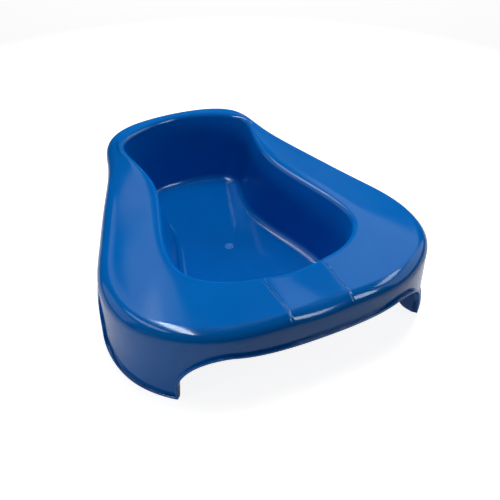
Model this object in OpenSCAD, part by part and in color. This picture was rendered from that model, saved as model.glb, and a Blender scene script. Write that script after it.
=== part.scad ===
// Adult bedpan, injection moulded in one piece from glossy blue plastic.
// A saddle-shaped seat deck surrounds a pinched basin. The wide end is the front, at -Y,
// and carries a shallow pour channel. A hemmed skirt stands on four corner feet.
// +X is the right-hand side seen from behind the front edge, +Z is up, z = 0 is the ground.
// Every sub-part is one zone of the moulding, and zones meet face to face.

/* [Overall size] */
// Width of the seat deck at its widest
pan_w = 297; // [270:1:330]
// Length of the seat deck from front to back
pan_l = 348; // [320:1:380]
// Height of the deck's outer edge at mid length
deck_h = 65; // [60:1:72]
// Rise of the outer edge towards both ends
end_rise = 12.5; // [8:0.5:15]
// Extra rise at the back and equal drop at the front
back_lift = 3.5; // [0:0.5:6]
// Rise of the deck from its outer edge to the basin
crown = 6; // [3:0.5:8]
// Extra rise of the basin's lip at the back and equal drop at the front
lip_tilt = 1.5; // [0:0.5:3]
// How much less the lip rises than the outer edge towards both ends
lip_ease = 2; // [0:0.5:4]
// Thickness of every wall
wall = 2.5; // [2:0.1:3]

/* [Rounded edges] */
// Radius of the rolled outer edge
rim_r = 11; // [8:0.5:13]
// Radius of the lip around the basin
lip_r = 5; // [4:0.5:6]
// Radius where the basin's wall meets its floor
heel_r = 8; // [6:0.5:9]

/* [Basin] */
// Height of the floor's upper face
floor_z = 3.5; // [3.3:0.1:6]
// Distance of the moulding gate behind the middle of the pan
gate_y = 10; // [0:1:30]

/* [Pour channel] */
// Distance from the centre line to the groove at each side of the channel
channel_half = 27; // [22:0.5:32]
// Half width of a groove, from its bottom to the level of the deck
groove_w = 1.5; // [1:0.1:3]
// Depth of a groove
groove_depth = 0.8; // [0.5:0.1:1.4]
// Depth of the channel in its middle
dish = 1.6; // [0.5:0.1:2.5]
// How much sooner the channel's front rolls over than the deck's
channel_lead = 3; // [0:0.5:5]

/* [Skirt and feet] */
// Outward lean of the skirt from the rolled edge to the ground
flare = 0.8; // [0:0.1:2]
// Height of the hem along the lower edge
hem_h = 2.2; // [1.8:0.1:4]
// How far the hem stands proud of the skirt
hem_out = 2.6; // [1.5:0.1:3]
// Height of the arch between the front feet, in its middle
front_arch = 45; // [38:1:46]
// How much higher that arch is towards its ends
front_lift = 4; // [0:0.5:5]
// Height of the arch on each side
side_arch = 34; // [25:1:38]
// Height of the arch between the rear feet
rear_arch = 46; // [35:1:50]
// Upright stretch at each end of an arch
arch_post = 14; // [8:1:18]
// Length over which an arch rises to its full height
arch_sweep = 44; // [30:1:46]
// Width of the web inside each end of a foot
web_w = 18; // [12:1:24]
// Height of that web
web_h = 40; // [30:1:42]
// Angle by which the web turns from square to the skirt towards the middle of its foot
web_turn = 18; // [0:1:25]

/* [Hidden] */
blue = [0.02, 0.29, 0.64];
pale_blue = [0.35, 0.55, 0.82];

// Control points of the right half of each outline, from the front centre to the back centre.
ref_w = 297;
ref_l = 348;
edge_half = [[0, -174], [66, -174], [106, -157], [145, -120], [152, -60], [134, -10],
             [113, 52], [88, 111], [85, 150], [54, 171], [0, 175.5]];
mouth_half = [[0, -122], [28, -117], [56, -111], [86, -86], [84, -44], [69, 5],
              [56, 51], [66, 100], [73, 128], [43, 145], [0, 155]];
// The same for the line where the basin's wall meets the rounded heel of its floor
base_half = [[0, -109], [25, -106], [50, -99], [73, -78], [71, -41], [57, 5],
             [44, 50], [52, 94], [62, 121], [40, 137], [0, 142]];
ref_saddle = 180;  // distance from the middle at which the deck has its full end rise
ref_lift = 75;  // distance from the centre line at which the front arch has its full lift
span = len(edge_half) - 1;  // stations along one half outline, 0 in front and span at the back

// Stations where the feet begin and end, from the front round to the back
front_foot = [2.2, 4.1];
rear_foot = [6.85, 8.9];

// Closed outline through mirrored control points, as a uniform cubic B-spline
function fit_size(p) = [for (q = p) [q.x * pan_w / ref_w, q.y * pan_l / ref_l]];
function both_sides(h) = concat(h, [for (i = [len(h) - 2 : -1 : 1]) [-h[i].x, h[i].y]]);
edge_ctrl = both_sides(fit_size(edge_half));
mouth_ctrl = both_sides(fit_size(mouth_half));
base_ctrl = both_sides(fit_size(base_half));

function weights(f) = [pow(1 - f, 3), 3 * pow(f, 3) - 6 * f * f + 4,
                       -3 * pow(f, 3) + 3 * f * f + 3 * f + 1, pow(f, 3)] / 6;
function slopes(f) = [-pow(1 - f, 2), 3 * f * f - 4 * f, -3 * f * f + 2 * f + 1, f * f] / 2;
function mix4(c, i, w) = let (n = len(c))
    w[0] * c[(i + n - 1) % n] + w[1] * c[i % n] + w[2] * c[(i + 1) % n] + w[3] * c[(i + 2) % n];
function at(c, t) = mix4(c, floor(t), weights(t - floor(t)));
function outward(c, t) = let (d = mix4(c, floor(t), slopes(t - floor(t)))) [d.y, -d.x] / norm(d);

// Station where a half outline reaches a given distance from the centre line
function find_x(c, x, lo, hi, n = 24) = let (mid = (lo + hi) / 2)
    n == 0 ? mid : at(c, mid).x < x ? find_x(c, x, mid, hi, n - 1) : find_x(c, x, lo, mid, n - 1);
groove_x = [channel_half - groove_w, channel_half, channel_half + groove_w];
// Stations beyond the grooves, where the search for them ends
edge_reach = 2;
mouth_reach = 2.5;
edge_marks = [0, for (x = groove_x) find_x(edge_ctrl, x, 0, edge_reach), span];
mouth_marks = [0, for (x = groove_x) find_x(mouth_ctrl, x, 0, mouth_reach), span];

// Columns: lines that run from the hem, over the deck and down to the floor
function spread(a, b, n) = [for (k = [0 : n - 1]) a + (b - a) * k / n];
marks = [0, edge_marks[1], edge_marks[2], edge_marks[3],
         front_foot[0], front_foot[1], rear_foot[0], rear_foot[1], span];
counts = [3, 1, 1, 7, 10, 13, 10, 5];
half_cols = [for (m = [0 : len(counts) - 1]) each spread(marks[m], marks[m + 1], counts[m])];
function total(v, n) = n == 0 ? 0 : v[n - 1] + total(v, n - 1);
half_n = total(counts, len(counts));
cols = 2 * half_n;
i_groove = total(counts, 2);
i_front = [total(counts, 4), total(counts, 5)];
i_rear = [total(counts, 6), total(counts, 7)];

function around(t) = concat(t, [span], [for (i = [half_n - 1 : -1 : 1]) 2 * span - t[i]]);
function mouth_station(t) = lookup(t, [for (m = [0 : 4]) [edge_marks[m], mouth_marks[m]]]);
edge_t = around(half_cols);
mouth_t = around([for (t = half_cols) mouth_station(t)]);
edge_p = [for (t = edge_t) at(edge_ctrl, t)];
edge_n = [for (t = edge_t) outward(edge_ctrl, t)];
mouth_p = [for (t = mouth_t) at(mouth_ctrl, t)];
mouth_n = [for (t = mouth_t) outward(mouth_ctrl, t)];
base_p = [for (t = mouth_t) at(base_ctrl, t)];
base_n = [for (t = mouth_t) outward(base_ctrl, t)];

// Heights of the outer edge and of the lip, and the channel's depth, at each column
saddle_l = ref_saddle * pan_l / ref_l;
function saddle(s) = deck_h + back_lift * s + end_rise * s * s;
function lip_crown(s) = crown + lip_tilt * s - lip_ease * s * s;
edge_z = [for (p = edge_p) saddle(p.y / saddle_l)];
mouth_z = [for (p = mouth_p) let (s = p.y / saddle_l) saddle(s) + lip_crown(s)];
function in_channel(i) = min(i, cols - i) < i_groove;
function depth(i, x) = min(i, cols - i) == i_groove ? groove_depth :
    in_channel(i) ? dish * (1 - pow(x / groove_x[0], 2)) : 0;

// One point of the outer skin with the direction that faces away from the material
function skirt_pt(i, z, out = 0) = let (e = edge_z[i] - rim_r, o = flare * (1 - z / e) + out)
    [[each (edge_p[i] + edge_n[i] * o), z], [each edge_n[i], 0]];
function rim_run(i) = rim_r + (in_channel(i) ? channel_lead * depth(i, edge_p[i].x) / dish : 0);
function deck_outer(i) = edge_p[i] - edge_n[i] * rim_run(i);
function deck_inner(i) = mouth_p[i] + mouth_n[i] * lip_r;
deck_w = [for (i = [0 : cols - 1]) norm(deck_inner(i) - deck_outer(i))];
// Height of the deck at a distance in from the outer edge, before edge and lip are rounded:
// an even slope from the edge's height to the lip's, which levels off at both ends
deck_ease = 0.25;  // share of the width over which the slope begins, and over which it ends
ease_area = 2 * deck_ease * (1 - deck_ease);
function rise(v) = v < deck_ease ? v * v / ease_area :
    v > 1 - deck_ease ? 1 - pow(1 - v, 2) / ease_area : (v - deck_ease / 2) / (1 - deck_ease);
function level(i, run) = edge_z[i] + (mouth_z[i] - edge_z[i]) * rise(run / (rim_run(i) + deck_w[i] + lip_r));
function rim_pt(i, a) = let (run = rim_run(i) * (1 - cos(a)), p = edge_p[i] - edge_n[i] * run)
    [[each p, level(i, run) - rim_r + (rim_r - depth(i, edge_p[i].x)) * sin(a)],
     [each (edge_n[i] * cos(a)), sin(a)]];
function deck_pt(i, v) = let (
    a = deck_outer(i), b = deck_inner(i), from = depth(i, edge_p[i].x), to = depth(i, mouth_p[i].x))
    [[each (a + (b - a) * v), level(i, rim_run(i) + deck_w[i] * v) - from - (to - from) * v], [0, 0, 1]];
function lip_pt(i, a) = let (out = lip_r * (1 - sin(a)), p = mouth_p[i] + mouth_n[i] * out,
    top = level(i, rim_run(i) + deck_w[i] + lip_r - out))
    [[each p, top - lip_r + (lip_r - depth(i, mouth_p[i].x)) * cos(a)],
     [each (-mouth_n[i] * sin(a)), cos(a)]];
function wall_pt(i, v) = let (top = mouth_z[i] - lip_r, low = floor_z + heel_r,
    n = mouth_n[i] + (base_n[i] - mouth_n[i]) * v)
    [[each (mouth_p[i] + (base_p[i] - mouth_p[i]) * v), top + (low - top) * v], [each (-n / norm(n)), 0]];
function heel_pt(i, a) = let (p = base_p[i] - base_n[i] * heel_r * (1 - cos(a)))
    [[each p, floor_z + heel_r * (1 - sin(a))], [each (-base_n[i] * cos(a)), sin(a)]];

// Lower edge of the skirt: an upright post at each end, then a sweep up to the arch's height
run = [for (i = 0, s = 0; i < cols; s = s + norm(edge_p[(i + 1) % cols] - edge_p[i]), i = i + 1) s];
loop = run[cols - 1] + norm(edge_p[0] - edge_p[cols - 1]);
function gap(i, j) = let (d = abs(run[i] - run[j])) min(d, loop - d);
arch_power = 0.65;  // below 1 the sweep starts steeply and levels off early
lift_l = ref_lift * pan_w / ref_w;
function arch_z(i, from, to, h, lift) = let (
    d = min(gap(i, from), gap(i, to), arch_sweep) / arch_sweep,
    top = h + lift * min(1, pow(edge_p[i].x / lift_l, 2)))
    arch_post + (top - arch_post) * pow(1 - pow(1 - d, 2), arch_power);
function arch_row(c, h, lift) = [for (i = c) arch_z(i, c[0], c[len(c) - 1], h, lift)];

// A closed shell between rows of skin points and the same points moved in by the wall
module shell(rows, ring = false, thick = wall) {
    nr = len(rows);
    nc = len(rows[0]);
    last = ring ? nc - 1 : nc - 2;
    function a(r, c) = r * nc + c % nc;
    function b(r, c) = nr * nc + r * nc + c % nc;
    skin = [for (row = rows) each [for (q = row) q[0]]];
    back = [for (row = rows) each [for (q = row) q[0] - q[1] * thick]];
    polyhedron(concat(skin, back), concat(
        [for (r = [0 : nr - 2], c = [0 : last]) [a(r, c), a(r + 1, c), a(r + 1, c + 1), a(r, c + 1)]],
        [for (r = [0 : nr - 2], c = [0 : last]) [b(r, c), b(r, c + 1), b(r + 1, c + 1), b(r + 1, c)]],
        [for (c = [0 : last]) [a(0, c), a(0, c + 1), b(0, c + 1), b(0, c)]],
        [for (c = [0 : last], r = nr - 1) [a(r, c + 1), a(r, c), b(r, c), b(r, c + 1)]],
        ring ? [] : [for (r = [0 : nr - 2]) [a(r + 1, 0), a(r, 0), b(r, 0), b(r + 1, 0)]],
        ring ? [] : [for (r = [0 : nr - 2], c = nc - 1) [a(r, c), a(r + 1, c), b(r + 1, c), b(r, c)]]));
}

// Column numbers from one mark round to another, anticlockwise seen from above
function columns(from, to) = [for (k = [from : to < from ? to + cols : to]) k % cols];
all_round = [0 : cols - 1];
right_front = columns(i_front[0], i_rear[0]);
left_front = columns(cols - i_rear[0], cols - i_front[0]);
front_span = columns(cols - i_front[0], i_front[0]);
rear_span = columns(i_rear[0], cols - i_rear[0]);

// Spacing of the rows: degrees on the rounded edges, shares of the way on the faces between them
rim_step = 18;
lip_step = 22.5;
deck_step = 0.2;
wall_step = 0.25;
skirt_step = 0.5;

module deck_zone(c) color(blue) shell([for (v = [0 : deck_step : 1]) [for (i = c) deck_pt(i, v)]]);
module seat_deck_left() deck_zone(columns(cols - i_rear[0], cols - i_groove));
module seat_deck_right() deck_zone(columns(i_groove, i_rear[0]));
module seat_deck_rear() deck_zone(rear_span);
module pour_channel() deck_zone(columns(cols - i_groove, i_groove));

module rolled_edge() color(blue)
    shell([for (a = [0 : rim_step : 90]) [for (i = all_round) rim_pt(i, a)]], ring = true);
module basin_lip() color(blue)
    shell([for (a = [0 : lip_step : 90]) [for (i = all_round) lip_pt(i, a)]], ring = true);

module wall_zone(c) color(blue) shell([for (v = [0 : wall_step : 1]) [for (i = c) wall_pt(i, v)]]);
module basin_wall_front() wall_zone(front_span);
module basin_wall_left() wall_zone(left_front);
module basin_wall_right() wall_zone(right_front);
module basin_wall_rear() wall_zone(rear_span);
module basin_heel() color(blue)
    shell([for (a = [0 : lip_step : 90]) [for (i = all_round) heel_pt(i, a)]], ring = true);
module basin_floor() color(blue) translate([0, 0, floor_z - wall])
    linear_extrude(wall) polygon([for (i = all_round) let (p = heel_pt(i, 90)[0]) [p.x, p.y]]);

// The gate's trace: a low disc with the stub of the sprue on it, each as [radius, height]
gate_disc = [5, 0.3];
gate_stub = [1.4, 0.9];
module gate_mark() color(pale_blue) translate([0, gate_y, floor_z]) {
    cylinder(r = gate_disc[0], h = gate_disc[1], $fn = 48);
    cylinder(r = gate_stub[0], h = gate_stub[1], $fn = 24);
}

// Skirt above an arch, and the hem along the arch itself
module apron(c, h, lift = 0) {
    arch = arch_row(c, h, lift);
    color(blue) shell([for (v = [0 : skirt_step : 1]) [for (k = [0 : len(c) - 1]) let (low = arch[k] + hem_h)
        skirt_pt(c[k], low + (edge_z[c[k]] - rim_r - low) * v)]]);
}
// Hem section as [height, distance proud of the skirt]: a flange with a flat top and broken edges
hem_edge = 0.5;  // how far each edge is cut back
hem_section = [[0, 0], [0, hem_out - hem_edge], [hem_edge, hem_out], [hem_h - hem_edge, hem_out],
               [hem_h, hem_out - hem_edge], [hem_h, 0]];
function hem_row(c, z, s) = [for (k = [0 : len(c) - 1]) skirt_pt(c[k], z[k] + s[0], s[1])];
// Closed strip with the hem's section outside and a plain face inside
module hem_strip(c, z) {
    n = len(c);
    m = len(hem_section) + 2;
    inner = [for (s = [[hem_h, -wall], [0, -wall]]) hem_row(c, z, s)];
    rows = concat([for (s = hem_section) hem_row(c, z, s)], inner);
    function v(r, k) = (r % m) * n + k;
    polyhedron([for (row = rows) each [for (q = row) q[0]]], concat(
        [for (r = [0 : m - 1], k = [0 : n - 2]) [v(r, k), v(r + 1, k), v(r + 1, k + 1), v(r, k + 1)]],
        [[for (r = [m - 1 : -1 : 0]) v(r, 0)]],
        [[for (r = [0 : m - 1]) v(r, n - 1)]]));
}
module hem(c, h, lift = 0) color(blue) hem_strip(c, arch_row(c, h, lift));
left_c = columns(cols - i_rear[0], cols - i_front[1]);
right_c = columns(i_front[1], i_rear[0]);
rear_c = columns(i_rear[1], cols - i_rear[1]);
module apron_front() apron(front_span, front_arch, front_lift);
module apron_left() apron(left_c, side_arch);
module apron_right() apron(right_c, side_arch);
module apron_rear() apron(rear_c, rear_arch);
module hem_front() hem(front_span, front_arch, front_lift);
module hem_left() hem(left_c, side_arch);
module hem_right() hem(right_c, side_arch);
module hem_rear() hem(rear_c, rear_arch);

// A foot is the skirt carried down to the ground, with its own length of hem
module foot(c) color(blue) {
    shell([for (v = [0 : skirt_step : 1]) [for (i = c) let (top = edge_z[i] - rim_r)
        skirt_pt(i, hem_h + (top - hem_h) * v)]]);
    hem_strip(c, [for (i = c) 0]);
}
module foot_front_left() foot(columns(cols - i_front[1], cols - i_front[0]));
module foot_front_right() foot(columns(i_front[0], i_front[1]));
module foot_rear_left() foot(columns(cols - i_rear[1], cols - i_rear[0]));
module foot_rear_right() foot(columns(i_rear[0], i_rear[1]));

// Stiffening web behind one end of a foot, with a rounded lower corner
web_t = 2.2;  // thickness
web_r = 12;  // radius of the lower corner
web_tip = 4;  // width of the web's upper end
web_clear = 0.03;  // gap between the web and the skirt
module web(i, j) {
    d = edge_p[j] - edge_p[i];
    side = cross(d, -edge_n[i]) > 0 ? 1 : -1;
    near = (wall + web_clear + web_t * sin(web_turn)) / cos(web_turn);
    lean = flare * (1 - web_h / (edge_z[i] - rim_r));
    translate([edge_p[i].x, edge_p[i].y, 0]) rotate([0, 0, atan2(d.y, d.x) + (90 - web_turn) * side])
        rotate([90, 0, 0]) translate([0, 0, side > 0 ? 0 : -web_t]) linear_extrude(web_t)
            difference() {
                polygon([[near - flare, 0], [near + web_w, 0], [near + web_w, web_h - web_w],
                         [near + web_tip, web_h], [near - lean, web_h]]);
                translate([near + web_w - web_r, 0]) difference() {
                    square(web_r);
                    translate([0, web_r]) circle(web_r, $fn = 48);
                }
            }
}
module webs(c) color(blue) {
    n = len(c);
    web(c[0], c[1]);
    web(c[n - 1], c[n - 2]);
}
module foot_webs_front_left() webs(columns(cols - i_front[1], cols - i_front[0]));
module foot_webs_front_right() webs(columns(i_front[0], i_front[1]));
module foot_webs_rear_left() webs(columns(cols - i_rear[1], cols - i_rear[0]));
module foot_webs_rear_right() webs(columns(i_rear[0], i_rear[1]));

seat_deck_left();
seat_deck_right();
seat_deck_rear();
pour_channel();
rolled_edge();
basin_lip();
basin_wall_front();
basin_wall_left();
basin_wall_right();
basin_wall_rear();
basin_heel();
basin_floor();
gate_mark();
apron_front();
apron_left();
apron_right();
apron_rear();
hem_front();
hem_left();
hem_right();
hem_rear();
foot_front_left();
foot_front_right();
foot_rear_left();
foot_rear_right();
foot_webs_front_left();
foot_webs_front_right();
foot_webs_rear_left();
foot_webs_rear_right();
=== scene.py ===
"""An adult bedpan, injection moulded in glossy blue plastic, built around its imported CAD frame.

The skin is one continuous grid of points: rows run from the skirt over the rolled edge, the seat deck,
the lip, the basin wall and the heel to the middle of the floor, and columns run round the outline.
Every piece is a zone of that grid with a real wall thickness, so neighbours share their boundary
points and normals and the moulding shows no seams. The hem, webs and gate mark are added to it.
"""
import math

import bmesh
import bpy
import numpy as np
from mathutils import Matrix, Vector


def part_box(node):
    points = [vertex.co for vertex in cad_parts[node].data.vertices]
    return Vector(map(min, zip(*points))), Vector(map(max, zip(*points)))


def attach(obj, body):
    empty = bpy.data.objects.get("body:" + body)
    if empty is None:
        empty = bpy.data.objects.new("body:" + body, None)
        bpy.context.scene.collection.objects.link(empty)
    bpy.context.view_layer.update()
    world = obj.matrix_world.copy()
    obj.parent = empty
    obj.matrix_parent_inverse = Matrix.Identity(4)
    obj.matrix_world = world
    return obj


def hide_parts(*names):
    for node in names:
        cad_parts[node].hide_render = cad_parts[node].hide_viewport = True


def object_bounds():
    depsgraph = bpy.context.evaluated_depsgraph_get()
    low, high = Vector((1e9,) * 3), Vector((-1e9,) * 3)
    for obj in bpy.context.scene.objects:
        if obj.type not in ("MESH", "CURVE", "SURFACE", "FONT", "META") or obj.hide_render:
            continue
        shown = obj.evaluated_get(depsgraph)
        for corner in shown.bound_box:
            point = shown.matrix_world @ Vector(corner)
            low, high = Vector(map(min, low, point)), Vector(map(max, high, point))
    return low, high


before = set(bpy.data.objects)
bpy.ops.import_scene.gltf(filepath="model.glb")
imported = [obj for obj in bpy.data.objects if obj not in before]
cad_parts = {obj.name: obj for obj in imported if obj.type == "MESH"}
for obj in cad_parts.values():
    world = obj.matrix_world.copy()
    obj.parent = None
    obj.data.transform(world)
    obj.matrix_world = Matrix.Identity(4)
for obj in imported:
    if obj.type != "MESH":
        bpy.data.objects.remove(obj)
cad_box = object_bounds()

MM = 0.001

# Outlines: control points of the right half, from the front centre to the back centre, in millimetres
EDGE_HALF = [(0, -174), (66, -174), (106, -157), (145, -120), (152, -60), (134, -10),
             (113, 52), (88, 111), (85, 150), (54, 171), (0, 175.5)]
MOUTH_HALF = [(0, -122), (28, -117), (56, -111), (86, -86), (84, -44), (69, 5),
              (56, 51), (66, 100), (73, 128), (43, 145), (0, 155)]
BASE_HALF = [(0, -109), (25, -106), (50, -99), (73, -78), (71, -41), (57, 5),
             (44, 50), (52, 94), (62, 121), (40, 137), (0, 142)]
SPAN = 10

# Sizes read from the frame
FLOOR_LOW, FLOOR_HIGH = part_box("basin_floor")
FLOOR_Z = FLOOR_HIGH.z
WALL = FLOOR_HIGH.z - FLOOR_LOW.z
GROUND = cad_box[0][2]

# Sizes of the moulding's sections. The deck lies 0.1 mm lower and the hem stands 0.1 mm less proud
# than in the CAD, so that this finer skin stays inside its box. The grooves are 0.15 mm shallower
# than the CAD's for their look.
DECK_H = 64.9 * MM
END_RISE = 12.5 * MM
BACK_LIFT = 3.5 * MM
CROWN = 6 * MM
DECK_EASE = 0.25
LIP_TILT = 1.5 * MM
LIP_EASE = 2 * MM
SADDLE_L = 180 * MM
RIM_R = 11 * MM
LIP_R = 5 * MM
HEEL_R = 8 * MM
FLARE = 0.8 * MM
CHANNEL_HALF = 27 * MM
GROOVE_W = 1.5 * MM
GROOVE_DEPTH = 0.65 * MM
DISH = 1.6 * MM
CHANNEL_LEAD = 3 * MM

# Lower edge: stations where the feet begin and end, and the arches between them
FRONT_FOOT = (2.2, 4.1)
REAR_FOOT = (6.85, 8.9)
ARCH_POST = 14 * MM
ARCH_SWEEP = 44 * MM
ARCH_POWER = 0.65
FRONT_ARCH = 45 * MM
FRONT_LIFT = 4 * MM
LIFT_L = 75 * MM
SIDE_ARCH = 34 * MM
REAR_ARCH = 46 * MM
HEM_H = 2.2 * MM
HEM_OUT = 2.5 * MM


# ---------------------------------------------------------------- outlines

def both_sides(half):
    """Closed control polygon in metres, mirrored in the centre line."""
    right = np.array(half, float) * MM
    left = right[-2:0:-1] * [-1, 1]
    return np.vstack([right, left])


def spline(ctrl, t):
    """Points and outward directions of the closed uniform cubic B-spline at stations t."""
    t = np.asarray(t, float)
    i = np.floor(t).astype(int)
    f = t - i
    weights = np.array([(1 - f) ** 3, 3 * f ** 3 - 6 * f ** 2 + 4,
                        -3 * f ** 3 + 3 * f ** 2 + 3 * f + 1, f ** 3]) / 6
    slopes = np.array([-(1 - f) ** 2, 3 * f ** 2 - 4 * f, -3 * f ** 2 + 2 * f + 1, f ** 2]) / 2
    near = np.array([ctrl[(i + k) % len(ctrl)] for k in (-1, 0, 1, 2)])
    p = (weights[..., None] * near).sum(0)
    d = (slopes[..., None] * near).sum(0)
    n = np.stack([d[..., 1], -d[..., 0]], -1)
    return p, n / np.linalg.norm(n, axis=-1, keepdims=True)


EDGE = both_sides(EDGE_HALF)
MOUTH = both_sides(MOUTH_HALF)
BASE = both_sides(BASE_HALF)


def station_at(ctrl, x, high):
    """Station between 0 and high where a half outline is x away from the centre line."""
    t = np.linspace(0, high, 4001)
    return float(np.interp(x, spline(ctrl, t)[0][:, 0], t))


# Stations beyond the grooves, where the search for them ends
EDGE_REACH = 1.5
MOUTH_REACH = 2
GROOVE_X = [CHANNEL_HALF - GROOVE_W, CHANNEL_HALF, CHANNEL_HALF + GROOVE_W]
EDGE_MARKS = [0] + [station_at(EDGE, x, EDGE_REACH) for x in GROOVE_X] + [SPAN]
MOUTH_MARKS = [0] + [station_at(MOUTH, x, MOUTH_REACH) for x in GROOVE_X] + [SPAN]


def evenly(a, b, n):
    return a + (b - a) * np.arange(n) / n


def gathered(a, b, n):
    """Stations from a to b that lie closer together towards both ends."""
    return a + (b - a) * (1 - np.cos(np.pi * np.arange(n) / n)) / 2


def gathered_first(a, b, n):
    """Stations from a to b that lie closer together towards a."""
    return a + (b - a) * (1 - np.cos(np.pi / 2 * np.arange(n) / n))


HALF_PARTS = [evenly(0, EDGE_MARKS[1], 26), evenly(EDGE_MARKS[1], EDGE_MARKS[2], 8),
              evenly(EDGE_MARKS[2], EDGE_MARKS[3], 8), gathered(EDGE_MARKS[3], FRONT_FOOT[0], 40),
              gathered(*FRONT_FOOT, 50), gathered(FRONT_FOOT[1], REAR_FOOT[0], 70),
              gathered(*REAR_FOOT, 54), gathered_first(REAR_FOOT[1], SPAN, 26)]
HALF = np.concatenate(HALF_PARTS)
HALF_N = len(HALF)
COLS = 2 * HALF_N
STARTS = np.cumsum([len(p) for p in HALF_PARTS])
I_GROOVE, I_FRONT, I_REAR = int(STARTS[1]), STARTS[[3, 4]].tolist(), STARTS[[5, 6]].tolist()

EDGE_T = np.concatenate([HALF, [SPAN], 2 * SPAN - HALF[:0:-1]])


def mouth_station(t):
    """Station on the basin's outlines that a column from edge station t runs to."""
    right = np.minimum(t, 2 * SPAN - t)
    m = np.interp(right, EDGE_MARKS, MOUTH_MARKS)
    return np.where(t > SPAN, 2 * SPAN - m, m)


EDGE_P, EDGE_N = spline(EDGE, EDGE_T)
MOUTH_P, MOUTH_N = spline(MOUTH, mouth_station(EDGE_T))
BASE_P, BASE_N = spline(BASE, mouth_station(EDGE_T))


# ---------------------------------------------------------------- sections of the skin

def saddle(y):
    s = y / SADDLE_L
    return DECK_H + BACK_LIFT * s + END_RISE * s * s


def lip_crown(y):
    s = y / SADDLE_L
    return CROWN + LIP_TILT * s - LIP_EASE * s * s


def depth(x):
    """How far the channel and its two grooves lie below the deck at a distance x from the centre line."""
    x = np.abs(x)
    u = np.clip(x / GROOVE_X[0], 0, 1)
    g = np.clip(np.abs(x - CHANNEL_HALF) / GROOVE_W, 0, 1)
    return DISH * (1 - u * u) ** 1.5 + GROOVE_DEPTH * (0.5 + 0.5 * np.cos(np.pi * g))


EDGE_Z = saddle(EDGE_P[:, 1])
MOUTH_Z = saddle(MOUTH_P[:, 1]) + lip_crown(MOUTH_P[:, 1])
EDGE_DEPTH = depth(EDGE_P[:, 0]) * (EDGE_P[:, 1] < 0)
MOUTH_DEPTH = depth(MOUTH_P[:, 0]) * (MOUTH_P[:, 1] < 0)
IN_CHANNEL = np.clip(1 - np.abs(EDGE_P[:, 0]) / GROOVE_X[0], 0, 1) * (EDGE_P[:, 1] < 0)
RIM_RUN = RIM_R + CHANNEL_LEAD * (1 - (1 - IN_CHANNEL) ** 4)


def raised(p, z):
    """Plan points p with heights z."""
    return np.column_stack([p, np.broadcast_to(z, len(p))])


DECK_OUTER = EDGE_P - EDGE_N * RIM_RUN[:, None]
DECK_INNER = MOUTH_P + MOUTH_N * LIP_R
DECK_W = np.linalg.norm(DECK_INNER - DECK_OUTER, axis=1)
RISE_W = RIM_RUN + DECK_W + LIP_R


def level(run):
    """Height of the deck at a distance run in from the outer edge, before edge and lip are rounded:
    an even slope from the edge's height to the lip's, which levels off at both ends."""
    w = DECK_EASE
    v = run / RISE_W
    bend = 2 * w * (1 - w)
    even = (v - w / 2) / (1 - w)
    share = np.where(v < w, v * v / bend, np.where(v > 1 - w, 1 - (1 - v) ** 2 / bend, even))
    return EDGE_Z + (MOUTH_Z - EDGE_Z) * share


def rim_row(a):
    run = RIM_RUN * (1 - math.cos(a))
    p = EDGE_P - EDGE_N * run[:, None]
    return (raised(p, level(run) - RIM_R + (RIM_R - EDGE_DEPTH) * math.sin(a)),
            raised(EDGE_N * math.cos(a), math.sin(a)))


def deck_row(v):
    p = DECK_OUTER + (DECK_INNER - DECK_OUTER) * v
    sunk = EDGE_DEPTH + (MOUTH_DEPTH - EDGE_DEPTH) * v
    return raised(p, level(RIM_RUN + DECK_W * v) - sunk), raised(EDGE_N * 0, 1)


def lip_row(a):
    p = MOUTH_P + MOUTH_N * LIP_R * (1 - math.sin(a))
    top = level(RISE_W - LIP_R * (1 - math.sin(a)))
    return (raised(p, top - LIP_R + (LIP_R - MOUTH_DEPTH) * math.cos(a)),
            raised(-MOUTH_N * math.sin(a), math.cos(a)))


def wall_row(v):
    n = MOUTH_N + (BASE_N - MOUTH_N) * v
    n /= np.linalg.norm(n, axis=1, keepdims=True)
    top = MOUTH_Z - LIP_R
    z = top + (FLOOR_Z + HEEL_R - top) * v
    return raised(MOUTH_P + (BASE_P - MOUTH_P) * v, z), raised(-n, 0)


def heel_row(a):
    p = BASE_P - BASE_N * HEEL_R * (1 - math.cos(a))
    return (raised(p, FLOOR_Z + HEEL_R * (1 - math.sin(a))),
            raised(-BASE_N * math.cos(a), math.sin(a)))


def floor_row(k):
    """A ring of the floor at a share k of the way from its middle to the heel."""
    ring = BASE_P - BASE_N * HEEL_R
    middle = np.array([0, (ring[:, 1].max() + ring[:, 1].min()) / 2])
    return raised(middle + (ring - middle) * k, FLOOR_Z), raised(BASE_N * 0, 1)


def skirt_points(t, z, out=0.0):
    """Points of the skirt's outer face at edge stations t and heights z, and the outward directions."""
    p, n = spline(EDGE, t)
    top = saddle(p[:, 1]) - RIM_R
    return raised(p + n * (FLARE * (1 - z / top) + out)[:, None], z), raised(n, 0)


# ---------------------------------------------------------------- the grid from the skirt to the floor

QUARTER = np.pi / 2
FLOOR_CORE = 0.04  # share of the way from the floor's middle to the heel that a fan fills
BELOW_RIM = 0.6 * MM  # how far down the skirt the row lies that the rim's first normals lean on
SECTIONS = {
    "rim": [rim_row(a) for a in np.linspace(0, QUARTER, 19)],
    "deck": [deck_row(v) for v in np.linspace(0, 1, 29)],
    "lip": [lip_row(a) for a in np.linspace(0, QUARTER, 13)],
    "wall": [wall_row(v) for v in np.linspace(0, 1, 17)],
    "heel": [heel_row(a) for a in np.linspace(0, QUARTER, 13)],
    "floor": [floor_row(k) for k in np.linspace(1, FLOOR_CORE, 22)],
}


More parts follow.
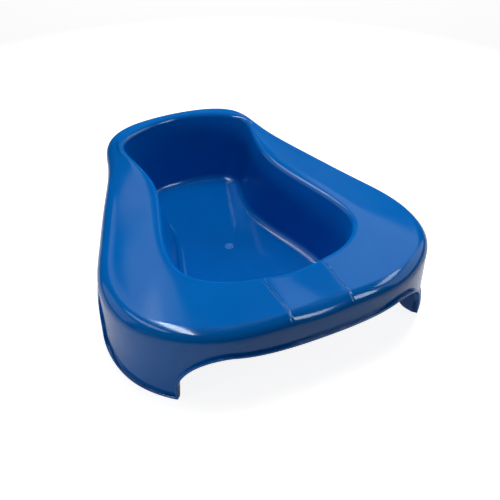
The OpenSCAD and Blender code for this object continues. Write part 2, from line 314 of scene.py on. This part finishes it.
def stack_sections():
    """Points and offset directions of all rows in order, and each section's first and last row."""
    points, ways, rows = [], [], {}
    for name, section in SECTIONS.items():
        skip = 1 if points else 0
        first = len(points) - skip
        points += [p for p, n in section[skip:]]
        ways += [n for p, n in section[skip:]]
        rows[name] = (first, len(points) - 1)
    return np.array(points), np.array(ways), rows


def grid_normals(p, below=None):
    """Smooth normals of a grid whose columns close on themselves. below is a row under the first one."""
    q = np.concatenate([(p[:1] if below is None else below[None]), p, p[-1:]])
    up = q[2:] - q[:-2]
    along = np.roll(p, -1, 1) - np.roll(p, 1, 1)
    n = np.cross(along, up)
    return n / np.maximum(np.linalg.norm(n, axis=-1, keepdims=True), 1e-12)


SKIN, WAYS, ROWS = stack_sections()
SKIN_N = grid_normals(SKIN, skirt_points(EDGE_T, EDGE_Z - RIM_R - BELOW_RIM)[0])


# ---------------------------------------------------------------- meshes

def from_bmesh(name, bm, sharp):
    """A smooth object from a bmesh, with the edges that turn more than sharp degrees kept crisp."""
    bmesh.ops.recalc_face_normals(bm, faces=bm.faces)
    mesh = bpy.data.meshes.new(name)
    bm.to_mesh(mesh)
    bm.free()
    mesh.shade_smooth()
    mesh.set_sharp_from_angle(angle=math.radians(sharp))
    obj = bpy.data.objects.new(name, mesh)
    bpy.context.scene.collection.objects.link(obj)
    return obj


def make_object(name, verts, faces, normals=None):
    """A mesh object from arrays. normals gives one direction for each corner of each face."""
    mesh = bpy.data.meshes.new(name)
    mesh.from_pydata([tuple(v) for v in verts], [], [tuple(f) for f in faces])
    mesh.shade_smooth()
    if normals is not None:
        mesh.normals_split_custom_set([tuple(n) for n in normals])
    obj = bpy.data.objects.new(name, mesh)
    bpy.context.scene.collection.objects.link(obj)
    return obj


def quads(rows, cols, ring, start=0):
    """Faces over a grid of points, facing the side from which its columns run anticlockwise."""
    last = cols if ring else cols - 1
    r, c = np.meshgrid(np.arange(rows - 1), np.arange(last), indexing="ij")
    r, c = r.ravel(), c.ravel()
    d = (c + 1) % cols
    return start + np.stack([r * cols + c, r * cols + d, (r + 1) * cols + d, (r + 1) * cols + c], 1)


def flat_normals(verts, faces):
    a, b, c, d = (verts[faces[:, k]] for k in range(4))
    n = np.cross(c - a, d - b)
    n /= np.maximum(np.linalg.norm(n, axis=1, keepdims=True), 1e-12)
    return np.repeat(n, 4, axis=0)


def side_faces(rows, cols, ring, capped):
    """Faces that close a shell between the edges of its two skins."""
    size = rows * cols
    last = cols if ring else cols - 1
    c = np.arange(last)
    d = (c + 1) % cols
    top = (rows - 1) * cols
    found = [np.stack([d, c, c + size, d + size], 1)]
    if not capped:
        found.append(np.stack([c + top, d + top, d + top + size, c + top + size], 1))
    if not ring:
        r = np.arange(rows - 1) * cols
        e = r + cols - 1
        found += [np.stack([r, r + size, r + cols + size, r + cols], 1),
                  np.stack([e, e + cols, e + cols + size, e + size], 1)]
    return np.concatenate(found)


def shell(name, points, normals, ways, ring=False, capped=False):
    """A closed shell: the grid of points outside and the same grid moved in by the wall's thickness.
    A capped shell's last row is closed with a fan of triangles on each side."""
    rows, cols = points.shape[:2]
    outer = points.reshape(-1, 3)
    inner = (points - ways * WALL).reshape(-1, 3)
    verts = np.concatenate([outer, inner])
    size = len(outer)
    front = quads(rows, cols, ring)
    back = (front + size)[:, ::-1]
    sides = side_faces(rows, cols, ring, capped)
    flat = normals.reshape(-1, 3)
    corner = [flat[front.ravel()], -flat[(back - size).ravel()], flat_normals(verts, sides)]
    faces = front.tolist() + back.tolist() + sides.tolist()
    if capped:
        last = np.arange(size - cols, size)
        after = np.roll(last, -1)
        hub = np.full(cols, 2 * size)
        fans = [np.stack([last, after, hub], 1), np.stack([after + size, last + size, hub + 1], 1)]
        verts = np.concatenate([verts, [outer[last].mean(0), inner[last].mean(0)]])
        faces += fans[0].tolist() + fans[1].tolist()
        up = np.tile([0, 0, 1.0], (3 * cols, 1))
        corner += [up, -up]
    return make_object(name, verts, faces, np.concatenate(corner))


def columns(first, last):
    """Column numbers from one mark round to another, anticlockwise seen from above."""
    if last < first:
        last += COLS
    return np.arange(first, last + 1) % COLS


def zone(name, section, cols=None):
    """The shell of one section of the skin, all round or between two columns."""
    low, high = ROWS[section]
    c = np.arange(COLS) if cols is None else cols
    part = np.ix_(np.arange(low, high + 1), c)
    return shell(name, SKIN[part], SKIN_N[part], WAYS[part], cols is None, section == "floor")


def finish_piece(obj, node, material):
    obj.data.materials.clear()
    obj.data.materials.append(material)
    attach(obj, "root")
    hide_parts(node)
    return obj


# ---------------------------------------------------------------- deck, edge and basin

LEFT_REAR = COLS - I_REAR[0]
LEFT_FRONT = COLS - I_FRONT[0]
DECKS = {
    "seat_deck_left": columns(LEFT_REAR, COLS - I_GROOVE),
    "seat_deck_right": columns(I_GROOVE, I_REAR[0]),
    "seat_deck_rear": columns(I_REAR[0], LEFT_REAR),
    "pour_channel": columns(COLS - I_GROOVE, I_GROOVE),
}
WALLS = {
    "basin_wall_front": columns(LEFT_FRONT, I_FRONT[0]),
    "basin_wall_left": columns(LEFT_REAR, LEFT_FRONT),
    "basin_wall_right": columns(I_FRONT[0], I_REAR[0]),
    "basin_wall_rear": columns(I_REAR[0], LEFT_REAR),
}
RINGS = {"rolled_edge": "rim", "basin_lip": "lip", "basin_heel": "heel", "basin_floor": "floor"}


# ---------------------------------------------------------------- skirt

RUN = np.concatenate([[0], np.cumsum(np.linalg.norm(np.diff(EDGE_P, axis=0), axis=1))])
LOOP = RUN[-1] + np.linalg.norm(EDGE_P[0] - EDGE_P[-1])


def length_at(t):
    """Distance round the outer outline to edge stations t."""
    turns = np.floor_divide(t, 2 * SPAN)
    return turns * LOOP + np.interp(t - turns * 2 * SPAN, np.append(EDGE_T, 2 * SPAN), np.append(RUN, LOOP))


def station_for(s):
    """Edge station at a distance s round the outer outline."""
    turns = np.floor_divide(s, LOOP)
    return turns * 2 * SPAN + np.interp(s - turns * LOOP, np.append(RUN, LOOP), np.append(EDGE_T, 2 * SPAN))


def arch_z(s, first, last, height, lift=0.0):
    """Height of an arch's lower edge at distances s round the outline, between its two ends."""
    d = np.clip(np.minimum(s - first, last - s) / ARCH_SWEEP, 0, 1)
    x = spline(EDGE, station_for(s))[0][:, 0]
    top = height + lift * np.minimum(1, (x / LIFT_L) ** 2)
    return ARCH_POST + (top - ARCH_POST) * (1 - (1 - d) ** 2) ** ARCH_POWER


ARCHES = {
    "front": (2 * SPAN - FRONT_FOOT[0], 2 * SPAN + FRONT_FOOT[0], FRONT_ARCH, FRONT_LIFT),
    "right": (FRONT_FOOT[1], REAR_FOOT[0], SIDE_ARCH, 0.0),
    "rear": (REAR_FOOT[1], 2 * SPAN - REAR_FOOT[1], REAR_ARCH, 0.0),
    "left": (2 * SPAN - REAR_FOOT[0], 2 * SPAN - FRONT_FOOT[1], SIDE_ARCH, 0.0),
}
FEET = {
    "front_left": (2 * SPAN - FRONT_FOOT[1], 2 * SPAN - FRONT_FOOT[0]),
    "front_right": FRONT_FOOT,
    "rear_left": (2 * SPAN - REAR_FOOT[1], 2 * SPAN - REAR_FOOT[0]),
    "rear_right": REAR_FOOT,
}
TUCK = 0.5 * MM  # how far a skirt piece starts above its lower edge, inside the hem
SKIRT_ROWS = 13
SKIRT_BLEND = 0.8  # share of the way up from which its normals turn into the rolled edge's
HAIR = 1e-9


def skirt_zone(name, first, last, low):
    """The skirt from its lower edge up to the rolled edge, between two edge stations."""
    stations = np.where(EDGE_T < first - HAIR, EDGE_T + 2 * SPAN, EDGE_T)
    inside = np.where((stations >= first - HAIR) & (stations <= last + HAIR))[0]
    c = inside[np.argsort(stations[inside])]
    bottom = low(length_at(stations[c])) + TUCK
    top = EDGE_Z[c] - RIM_R
    shares = np.linspace(0, 1, SKIRT_ROWS)
    grid = [skirt_points(EDGE_T[c], bottom + (top - bottom) * v) for v in shares]
    points = np.array([p for p, n in grid])
    ways = np.array([n for p, n in grid])
    normals = ways.copy()
    blend = np.clip((shares - SKIRT_BLEND) / (1 - SKIRT_BLEND), 0, 1)[:, None, None]
    normals = normals * (1 - blend) + SKIN_N[0, c][None] * blend
    normals /= np.linalg.norm(normals, axis=-1, keepdims=True)
    return shell(name, points, normals, ways)


# ---------------------------------------------------------------- hem

CORNER_R = 1.2 * MM  # radius of a foot's lower corners
TOP_R = 0.6 * MM  # radii of the hem's upper outer edge, its inner edges and its lower outer edge
INNER_R = 0.5 * MM
GROUND_R = 0.7 * MM
HEM_BITE = 0.15 * MM  # how far it reaches past the skirt's inner face
HEM_STEP = 1.1 * MM  # spacing of its sections
HEM_MERGE = 0.002 * MM  # points closer than this become one
HEM_SHARP = 40
TURN_STEPS = 7


def hem_section():
    """The flange's section as (height above the lower edge, distance proud of the skirt)."""
    inner = -WALL - HEM_BITE
    corners = [(0, HEM_OUT, GROUND_R), (HEM_H, HEM_OUT, TOP_R), (HEM_H, inner, INNER_R), (0, inner, INNER_R)]
    found = []
    for k, (h, out, r) in enumerate(corners):
        way_h = 1 if h == 0 else -1
        way_out = -1 if out > 0 else 1
        start = [math.pi, math.pi / 2, 0, -math.pi / 2][k]
        for a in np.linspace(0, math.pi / 2, TURN_STEPS):
            turn = start - a
            centre = (h + way_h * r, out + way_out * r)
            found.append((centre[0] + r * math.cos(turn), centre[1] + r * math.sin(turn)))
    return np.array(found)


def hem_path_arch(first, last, height, lift):
    """Lower edge of an arch as (distance round the outline, height), evenly spaced."""
    a, b = length_at(np.array([first, last], float))
    fine = a + (b - a) * (1 - np.cos(np.linspace(0, np.pi, 3000))) / 2
    z = arch_z(fine, a, b, height, lift)
    way = np.concatenate([[0], np.cumsum(np.hypot(np.diff(fine), np.diff(z)))])
    even = np.linspace(0, way[-1], int(way[-1] / HEM_STEP))
    return np.stack([np.interp(even, way, fine), np.interp(even, way, z)], 1)


def offset_sections(path):
    """For each path point, the direction in the skirt's face that points into the moulding."""
    d = np.gradient(path, axis=0)
    d /= np.linalg.norm(d, axis=1, keepdims=True)
    return np.stack([-d[:, 1], d[:, 0]], 1)


def lay_on_skirt(flat, out):
    """Points given as (distance round the outline, height) and a distance proud of the skirt, in space."""
    t = station_for(flat[..., 0].ravel())
    p, n = skirt_points(t % (2 * SPAN), flat[..., 1].ravel(), out.ravel())
    return p.reshape(flat.shape[:-1] + (3,))


def sweep(flat_rows, out_rows):
    """A closed hem through sections laid on the skirt. flat_rows is (sections, points, 2)."""
    grid = lay_on_skirt(flat_rows, out_rows)
    count, around = grid.shape[:2]
    verts = grid.reshape(-1, 3)
    k, j = np.meshgrid(np.arange(count - 1), np.arange(around), indexing="ij")
    k, j = k.ravel(), j.ravel()
    i = (j + 1) % around
    body = np.stack([k * around + j, (k + 1) * around + j, (k + 1) * around + i, k * around + i], 1)
    ends = [tuple(range(around)), tuple(range((count - 1) * around, count * around))[::-1]]
    return verts, [tuple(f) for f in body] + ends


def bead_object(name, parts):
    """One object from one or more (verts, faces) pairs, with points that meet merged."""
    bm = bmesh.new()
    for verts, faces in parts:
        made = [bm.verts.new(v) for v in verts]
        for f in faces:
            bm.faces.new([made[i] for i in f])
        bmesh.ops.remove_doubles(bm, verts=made, dist=HEM_MERGE)
    return from_bmesh(name, bm, HEM_SHARP)


def hem_arch(name, first, last, height, lift):
    path = hem_path_arch(first, last, height, lift)
    side = offset_sections(path)
    side[0], side[-1] = (-1, 0), (1, 0)
    section = hem_section()
    flat = path[:, None] + side[:, None] * section[None, :, :1]
    out = np.broadcast_to(section[None, :, 1], flat.shape[:2])
    return bead_object(name, [sweep(flat, out)])


def foot_sections(first, last):
    """Sections of a foot's hem: down one tip, along the ground and up the other tip."""
    a, b = length_at(np.array([first, last], float))
    section = hem_section()
    h = section[:, 0]
    rows = []
    for z in np.linspace(ARCH_POST, CORNER_R, 8):
        rows.append(np.stack([a + h, np.full_like(h, z)], 1))
    for turn in np.linspace(0, math.pi / 2, TURN_STEPS)[1:-1]:
        rows.append(corner_section(a, 1, turn, h))
    for s in np.linspace(a + CORNER_R, b - CORNER_R, int((b - a) / HEM_STEP)):
        rows.append(np.stack([np.full_like(h, s), GROUND + h], 1))
    for turn in np.linspace(math.pi / 2, 0, TURN_STEPS)[1:-1]:
        rows.append(corner_section(b, -1, turn, h))
    for z in np.linspace(CORNER_R, ARCH_POST, 8):
        rows.append(np.stack([b - h, np.full_like(h, z)], 1))
    flat = np.array(rows)
    # inside a corner, sections stay short of the line where the two sides meet
    return mitred(flat, a, b), np.broadcast_to(section[:, 1], flat.shape[:2])


def corner_section(tip, way, turn, h):
    """A section through a foot's lower corner, turned from its upright side towards the ground."""
    reach = CORNER_R - h
    flat_s = tip + way * (CORNER_R - reach * math.cos(turn))
    flat_z = GROUND + CORNER_R - reach * math.sin(turn)
    return np.stack([flat_s, flat_z], 1)


def mitred(flat, a, b):
    """Moves points that have crossed a corner's mitre line back onto it."""
    s, z = flat[..., 0], flat[..., 1] - GROUND
    section_h = hem_section()[:, 0]
    for tip, way in ((a, 1), (b, -1)):
        along = way * (s - tip)
        near = (along < HEM_H + CORNER_R) & (z < HEM_H + CORNER_R)
        upright = np.isclose(along, section_h[None], atol=1e-9)
        level = np.isclose(z, section_h[None], atol=1e-9)
        z = np.where(near & upright & (z < along), along, z)
        along = np.where(near & level & ~upright & (along < z), z, along)
        corner = near & ~upright & ~level & (section_h[None] > CORNER_R)
        along = np.where(corner, section_h[None], along)
        z = np.where(corner, section_h[None], z)
        s = np.where(near, tip + way * along, s)
    return np.stack([s, z + GROUND], -1)


def foot(name, first, last):
    """A foot: its stretch of skirt down to the ground, and the hem round its lower edge and tips."""
    plate = skirt_zone(name, first, last, lambda s: np.zeros_like(s) + GROUND)
    flat, out = foot_sections(first, last)
    bead = bead_object(name + "_bead", [sweep(flat, out)])
    return join([plate, bead])


def join(objs):
    """Joins mesh objects into the first one and keeps their own normals."""
    bpy.ops.object.select_all(action="DESELECT")
    for o in objs:
        o.select_set(True)
    bpy.context.view_layer.objects.active = objs[0]
    bpy.ops.object.join()
    return objs[0]


# ---------------------------------------------------------------- webs and gate mark

WEB_T = 2.2 * MM
WEB_W = 18 * MM
WEB_H = 40 * MM
WEB_R = 12 * MM
WEB_TIP = 4 * MM
WEB_TURN = math.radians(18)
WEB_ROOT = 0.3 * MM  # how far a web reaches into the skirt
WEB_GAP = 0.05 * MM  # distance from the foot's end
WEB_BEVEL = 0.5 * MM
WEB_CORNER = 60  # an edge that turns more than this is bevelled
WEB_SHARP = 35


def web_outline():
    """The web's outline as (distance in from the skirt's inner face, height)."""
    start = -WEB_ROOT
    turn = [(WEB_W - WEB_R + WEB_R * math.sin(a), WEB_R - WEB_R * math.cos(a))
            for a in np.linspace(0, QUARTER, 13)]
    return [(start, 0)] + turn + [(WEB_W, WEB_H - WEB_W), (WEB_TIP, WEB_H), (start, WEB_H)]


def web(name, station, way):
    """One web, just inside the end of a foot and turned towards its middle. way is the foot's side."""
    s = length_at(np.array([station], float)) + way * WEB_GAP
    p, n = spline(EDGE, station_for(s) % (2 * SPAN))
    p, n = p[0], n[0]
    side = np.array([-n[1], n[0]]) * way
    inward = -n * math.cos(WEB_TURN) + side * math.sin(WEB_TURN)
    along = n * math.sin(WEB_TURN) + side * math.cos(WEB_TURN)
    bm = bmesh.new()
    rows = []
    for thick in (0, WEB_T):
        row = []
        for u, z in web_outline():
            lean = FLARE * (1 - z / (saddle(p[1]) - RIM_R))
            x, y = p - n * (WALL - lean) + inward * u + along * thick
            row.append(bm.verts.new((x, y, GROUND + z)))
        rows.append(row)
    count = len(rows[0])
    bm.faces.new(rows[0])
    bm.faces.new(rows[1][::-1])
    for k in range(count):
        j = (k + 1) % count
        bm.faces.new((rows[0][j], rows[0][k], rows[1][k], rows[1][j]))
    bmesh.ops.recalc_face_normals(bm, faces=bm.faces)
    edges = [e for e in bm.edges if e.calc_face_angle(0) > math.radians(WEB_CORNER)]
    bmesh.ops.bevel(bm, geom=edges, offset=WEB_BEVEL, segments=3, profile=0.5, affect="EDGES")
    return from_bmesh(name, bm, WEB_SHARP)


def webs(name, first, last):
    return join([web(name, first, 1), web(name + "_end", last, -1)])


# The gate's section as (radius, height) in millimetres: a broken nub, a moat and a raised ring
GATE_PROFILE = [(0, 0.6), (0.5, 0.75), (0.9, 0.6), (1.3, 0.25), (1.6, 0.0), (2.2, 0.03),
                (2.9, 0.1), (3.4, 0.3), (3.9, 0.42), (4.4, 0.3), (4.8, 0.05)]
GATE_EDGE = -0.1  # height of its outer edge, just under the floor's surface
GATE_SINK = 0.6 * MM  # depth of its underside in the floor
GATE_STEPS = 64
NUB_R = 1.4
NUB_CHIP = 0.12
RING_R = 3
BURR_RISE = 1.6  # how much higher the ring stands at its burr
BURR_AT = -0.4  # the burr's place round the ring, in radians
BURR_POWER = 12


def gate_mark(name):
    """The sprue's trace: a raised ring with a burr round a moat, and a broken-off nub in the middle."""
    low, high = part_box("gate_mark")
    centre = (low + high) / 2
    disc_r = (high.x - low.x) / 2
    profile = GATE_PROFILE + [(disc_r / MM, GATE_EDGE)]
    steps = GATE_STEPS
    rng = np.random.default_rng(4)
    chipped = 1 + NUB_CHIP * rng.standard_normal(steps)
    chipped = (chipped + np.roll(chipped, 1) + np.roll(chipped, -1)) / 3
    verts = [(centre.x, centre.y, FLOOR_Z + profile[0][1] * MM)]
    for r, z in profile[1:]:
        for k in range(steps):
            a = 2 * math.pi * k / steps
            rough = chipped[k] if r < NUB_R else 1
            burr = 1 + BURR_RISE * max(0, math.cos(a - BURR_AT)) ** BURR_POWER if r > RING_R else 1
            verts.append((centre.x + r * MM * rough * math.cos(a),
                          centre.y + r * MM * rough * math.sin(a), FLOOR_Z + z * burr * MM))
    base = len(verts)
    for k in range(steps):
        a = 2 * math.pi * k / steps
        verts.append((centre.x + disc_r * math.cos(a), centre.y + disc_r * math.sin(a),
                      FLOOR_Z - GATE_SINK))
    faces = [(0, 1 + k, 1 + (k + 1) % steps) for k in range(steps)]
    for r in range(len(profile) - 1):
        a = 1 + r * steps
        b = a + steps
        faces += [(a + k, b + k, b + (k + 1) % steps, a + (k + 1) % steps) for k in range(steps)]
    faces.append(tuple(base + k for k in range(steps))[::-1])
    return make_object(name, verts, faces)


# ---------------------------------------------------------------- materials

def new_material(name):
    mat = bpy.data.materials.new(name)
    mat.use_nodes = True
    tree = mat.node_tree
    shader = tree.nodes["Principled BSDF"]
    return mat, tree, shader


def noise(tree, scale, detail=3.0, rough=0.5):
    """A noise texture in the object's own metres."""
    coords = tree.nodes.new("ShaderNodeTexCoord")
    node = tree.nodes.new("ShaderNodeTexNoise")
    node.inputs["Scale"].default_value = scale
    node.inputs["Detail"].default_value = detail
    node.inputs["Roughness"].default_value = rough
    tree.links.new(coords.outputs["Object"], node.inputs["Vector"])
    return node


def ramp(tree, source, low, high, at_low, at_high):
    """Maps a value between two limits to a value between two others."""
    node = tree.nodes.new("ShaderNodeMapRange")
    node.inputs["From Min"].default_value = low
    node.inputs["From Max"].default_value = high
    node.inputs["To Min"].default_value = at_low
    node.inputs["To Max"].default_value = at_high
    tree.links.new(source, node.inputs["Value"])
    return node.outputs["Result"]


def blend_colours(tree, factor, one, other):
    node = tree.nodes.new("ShaderNodeMix")
    node.data_type = "RGBA"
    node.inputs["A"].default_value = (*one, 1)
    node.inputs["B"].default_value = (*other, 1)
    tree.links.new(factor, node.inputs["Factor"])
    return node.outputs["Result"]


def plastic():
    """Glossy blue plastic with faint flow streaks, a fine mould texture and light wear."""
    mat, tree, shader = new_material("pan_plastic")
    flow = noise(tree, 14, 4)
    tint = ramp(tree, flow.outputs["Fac"], 0.3, 0.7, 0, 1)
    colour = blend_colours(tree, tint, (0.0, 0.125, 0.480), (0.0, 0.140, 0.520))
    tree.links.new(colour, shader.inputs["Base Color"])
    wear = noise(tree, 45, 6, 0.65)
    gloss = ramp(tree, wear.outputs["Fac"], 0.35, 0.75, 0.09, 0.15)
    tree.links.new(gloss, shader.inputs["Roughness"])
    shader.inputs["IOR"].default_value = 1.45
    peel = noise(tree, 420, 2)
    bump = tree.nodes.new("ShaderNodeBump")
    bump.inputs["Strength"].default_value = 0.12
    bump.inputs["Distance"].default_value = 0.02 * MM
    tree.links.new(peel.outputs["Fac"], bump.inputs["Height"])
    tree.links.new(bump.outputs["Normal"], shader.inputs["Normal"])
    return mat


def gate_plastic():
    """The sprue's trace, stress-whitened and duller than the moulding round it."""
    mat, tree, shader = new_material("gate_vestige")
    crazing = noise(tree, 650, 5, 0.7)
    tint = ramp(tree, crazing.outputs["Fac"], 0.47, 0.62, 0, 1)
    colour = blend_colours(tree, tint, (0.0, 0.14, 0.50), (0.06, 0.32, 0.78))
    tree.links.new(colour, shader.inputs["Base Color"])
    gloss = ramp(tree, crazing.outputs["Fac"], 0.3, 0.7, 0.25, 0.5)
    tree.links.new(gloss, shader.inputs["Roughness"])
    shader.inputs["IOR"].default_value = 1.38
    return mat


# The floor is pale paper near the pan. Beyond FLOOR_FAR its colour is darkened, a painted shade that stands
# in for light falling off away from the pan. CAMERA_GLOW and NEAR_GLOW are what it gives off to the camera
# and to the gloss.
FLOOR_NEAR = 0.3
FLOOR_FAR = 0.7
CAMERA_GLOW = 0.88
NEAR_GLOW = 0.25


def pale_floor():
    """A matt pale floor whose colour is darkened away from the pan as painted shade. Seen straight on it
    glows a little, so its shadows stay faint."""
    mat, tree, shader = new_material("pale_floor")
    coords = tree.nodes.new("ShaderNodeTexCoord")
    reach = tree.nodes.new("ShaderNodeVectorMath")
    reach.operation = "LENGTH"
    tree.links.new(coords.outputs["Object"], reach.inputs[0])
    far = ramp(tree, reach.outputs["Value"], FLOOR_NEAR, FLOOR_FAR, 0, 1)
    # painted shade: the floor's colour runs from pale near the pan to near black far from it
    paper_and_painted_shade = blend_colours(tree, far, (0.55, 0.55, 0.55), (0.06, 0.06, 0.06))
    tree.links.new(paper_and_painted_shade, shader.inputs["Base Color"])
    shader.inputs["Roughness"].default_value = 0.9
    shader.inputs["Specular IOR Level"].default_value = 0.0
    shader.inputs["Emission Color"].default_value = (1, 1, 1, 1)
    path = tree.nodes.new("ShaderNodeLightPath")
    seen = ramp(tree, path.outputs["Is Camera Ray"], 0, 1, 0, CAMERA_GLOW)
    near_glow = ramp(tree, far, 0, 1, NEAR_GLOW, 0)
    mirrored = tree.nodes.new("ShaderNodeMath")
    mirrored.operation = "MULTIPLY"
    tree.links.new(path.outputs["Is Glossy Ray"], mirrored.inputs[0])
    tree.links.new(near_glow, mirrored.inputs[1])
    both = tree.nodes.new("ShaderNodeMath")
    tree.links.new(seen, both.inputs[0])
    tree.links.new(mirrored.outputs["Value"], both.inputs[1])
    tree.links.new(both.outputs["Value"], shader.inputs["Emission Strength"])
    return mat


# ---------------------------------------------------------------- stage

STAGE_SIDE = 6
STAGE_BACK = 9


def make_stage():
    verts = [(-STAGE_SIDE, -STAGE_SIDE, GROUND), (STAGE_SIDE, -STAGE_SIDE, GROUND),
             (STAGE_SIDE, STAGE_BACK, GROUND), (-STAGE_SIDE, STAGE_BACK, GROUND)]
    obj = make_object("floor", verts, [(0, 1, 2, 3)])
    obj.data.materials.append(pale_floor())


# Soft lights: name, azimuth (0 behind the pan, 90 on its right), elevation, distance in metres,
# width and height as angles in degrees, and brightness against a white surface.
# The first group is what the gloss mirrors, the second shades the plastic's own colour.
GLOSS_LIGHTS = [
    ("key_strip", -64, 68, 1.2, 72, 7.5, 14),
    ("key_halo", -66, 67, 1.19, 84, 14, 0.8),
    ("second_strip", -72, 49, 1.3, 52, 9, 2.8),
    ("left_wall", -56, 20, 1.8, 40, 32, 0.75),
    ("rear_window", 1, 41, 1.8, 10, 12, 0.75),
    ("right_window", 53, 38, 1.8, 28, 24, 0.7),
    ("right_wall", 103, 22, 1.8, 56, 32, 1.05),
    ("right_strip", 98, 47, 1.2, 38, 9, 5.5),
    ("front_strip", 146, 34, 1.2, 13, 28, 7),
]
GLOSS_COLOUR = (0.84, 0.95, 1.0)
BODY_LIGHTS = [
    ("rear_fill", 25, 18, 1.6, 40, 20, 13),
    ("top_fill", 35, 75, 1.3, 24, 24, 7.5),
    ("over_fill", 180, 88, 1.3, 20, 20, 3.4),
    ("right_fill", 48, 57, 1.3, 30, 24, 2),
    ("right_low", 120, 10, 1.5, 30, 16, 2),
    ("left_low", -100, 6, 1.5, 30, 10, 9),
]


def soft_light(name, azimuth, elevation, distance, wide, high, brightness):
    """An area light aimed at the middle of the pan."""
    a, e = math.radians(azimuth), math.radians(elevation)
    way = Vector((math.sin(a) * math.cos(e), math.cos(a) * math.cos(e), math.sin(e)))
    data = bpy.data.lights.new(name, "AREA")
    data.shape = "ELLIPSE" if name.endswith(("strip", "halo")) else "RECTANGLE"
    data.size = 2 * distance * math.tan(math.radians(wide / 2))
    data.size_y = 2 * distance * math.tan(math.radians(high / 2))
    data.energy = brightness * math.pi * data.size * data.size_y
    obj = bpy.data.objects.new(name, data)
    obj.location = Vector((0, 0, DECK_H)) + way * distance
    obj.rotation_euler = (-way).to_track_quat("-Z", "Y").to_euler()
    bpy.context.scene.collection.objects.link(obj)
    return obj


WORLD_LIGHT = 0.015
WORLD_SEEN = 0.9  # brightness of the backdrop in the picture


def make_lights():
    for light in GLOSS_LIGHTS:
        lamp = soft_light(*light)
        lamp.visible_diffuse = False
        lamp.data.color = GLOSS_COLOUR
    for light in BODY_LIGHTS:
        soft_light(*light).visible_glossy = False
    world = bpy.data.worlds.new("studio")
    world.use_nodes = True
    tree = world.node_tree
    tree.nodes["Background"].inputs["Color"].default_value = (1, 1, 1, 1)
    path = tree.nodes.new("ShaderNodeLightPath")
    strength = ramp(tree, path.outputs["Is Camera Ray"], 0, 1, WORLD_LIGHT, WORLD_SEEN)
    tree.links.new(strength, tree.nodes["Background"].inputs["Strength"])
    bpy.context.scene.world = world


# The camera's place round the pan's middle and its turn away from it, in degrees, its distance
# and the middle's height in metres, and its lens in millimetres on a 36 mm sensor
CAMERA_AZIMUTH = -23.49
CAMERA_ELEVATION = 35.67
CAMERA_PAN = 1.43
CAMERA_TILT = -2.77
CAMERA_DISTANCE = 0.6468
AIM_HEIGHT = 0.045
CAMERA_LENS = 47.84
CAMERA_SENSOR = 36


def make_camera():
    """The camera in front on the left, looking down at the pan."""
    azimuth, elevation = math.radians(CAMERA_AZIMUTH), math.radians(CAMERA_ELEVATION)
    pan, tilt = math.radians(CAMERA_PAN), math.radians(CAMERA_TILT)
    back = Vector((math.sin(azimuth) * math.cos(elevation),
                   -math.cos(azimuth) * math.cos(elevation), math.sin(elevation)))
    right = (-back).cross(Vector((0, 0, 1))).normalized()
    up = right.cross(-back)
    ahead = (-back + right * math.tan(pan) + up * math.tan(tilt)).normalized()
    right = ahead.cross(Vector((0, 0, 1))).normalized()
    up = right.cross(ahead)
    data = bpy.data.cameras.new("camera")
    data.sensor_width = CAMERA_SENSOR
    data.lens = CAMERA_LENS
    obj = bpy.data.objects.new("camera", data)
    place = Vector((0, 0, AIM_HEIGHT)) + back * CAMERA_DISTANCE
    turn = Matrix((right, up, -ahead)).transposed().to_4x4()
    obj.matrix_world = Matrix.Translation(place) @ turn
    bpy.context.scene.collection.objects.link(obj)
    bpy.context.scene.camera = obj


# ---------------------------------------------------------------- everything together

def arch_edge(first, last, height, lift):
    """The height of an arch's lower edge as a function of the distance round the outline."""
    a, b = length_at(np.array([first, last], float))
    return lambda s: arch_z(s, a, b, height, lift)


def make_pan():
    blue = plastic()
    for node, cols in DECKS.items():
        finish_piece(zone(node + "_skin", "deck", cols), node, blue)
    for node, cols in WALLS.items():
        finish_piece(zone(node + "_skin", "wall", cols), node, blue)
    for node, section in RINGS.items():
        finish_piece(zone(node + "_skin", section), node, blue)
    for side, arch in ARCHES.items():
        first, last = arch[:2]
        apron = skirt_zone(f"apron_{side}_skin", first, last, arch_edge(*arch))
        finish_piece(apron, f"apron_{side}", blue)
        finish_piece(hem_arch(f"hem_{side}_bead", *arch), f"hem_{side}", blue)
    for corner, (first, last) in FEET.items():
        finish_piece(foot(f"foot_{corner}_skin", first, last), f"foot_{corner}", blue)
        finish_piece(webs(f"foot_webs_{corner}_plates", first, last), f"foot_webs_{corner}", blue)
    finish_piece(gate_mark("gate_mark_scar"), "gate_mark", gate_plastic())


bpy.context.scene.view_settings.view_transform = "Standard"
make_camera()
make_lights()
make_stage()
make_pan()
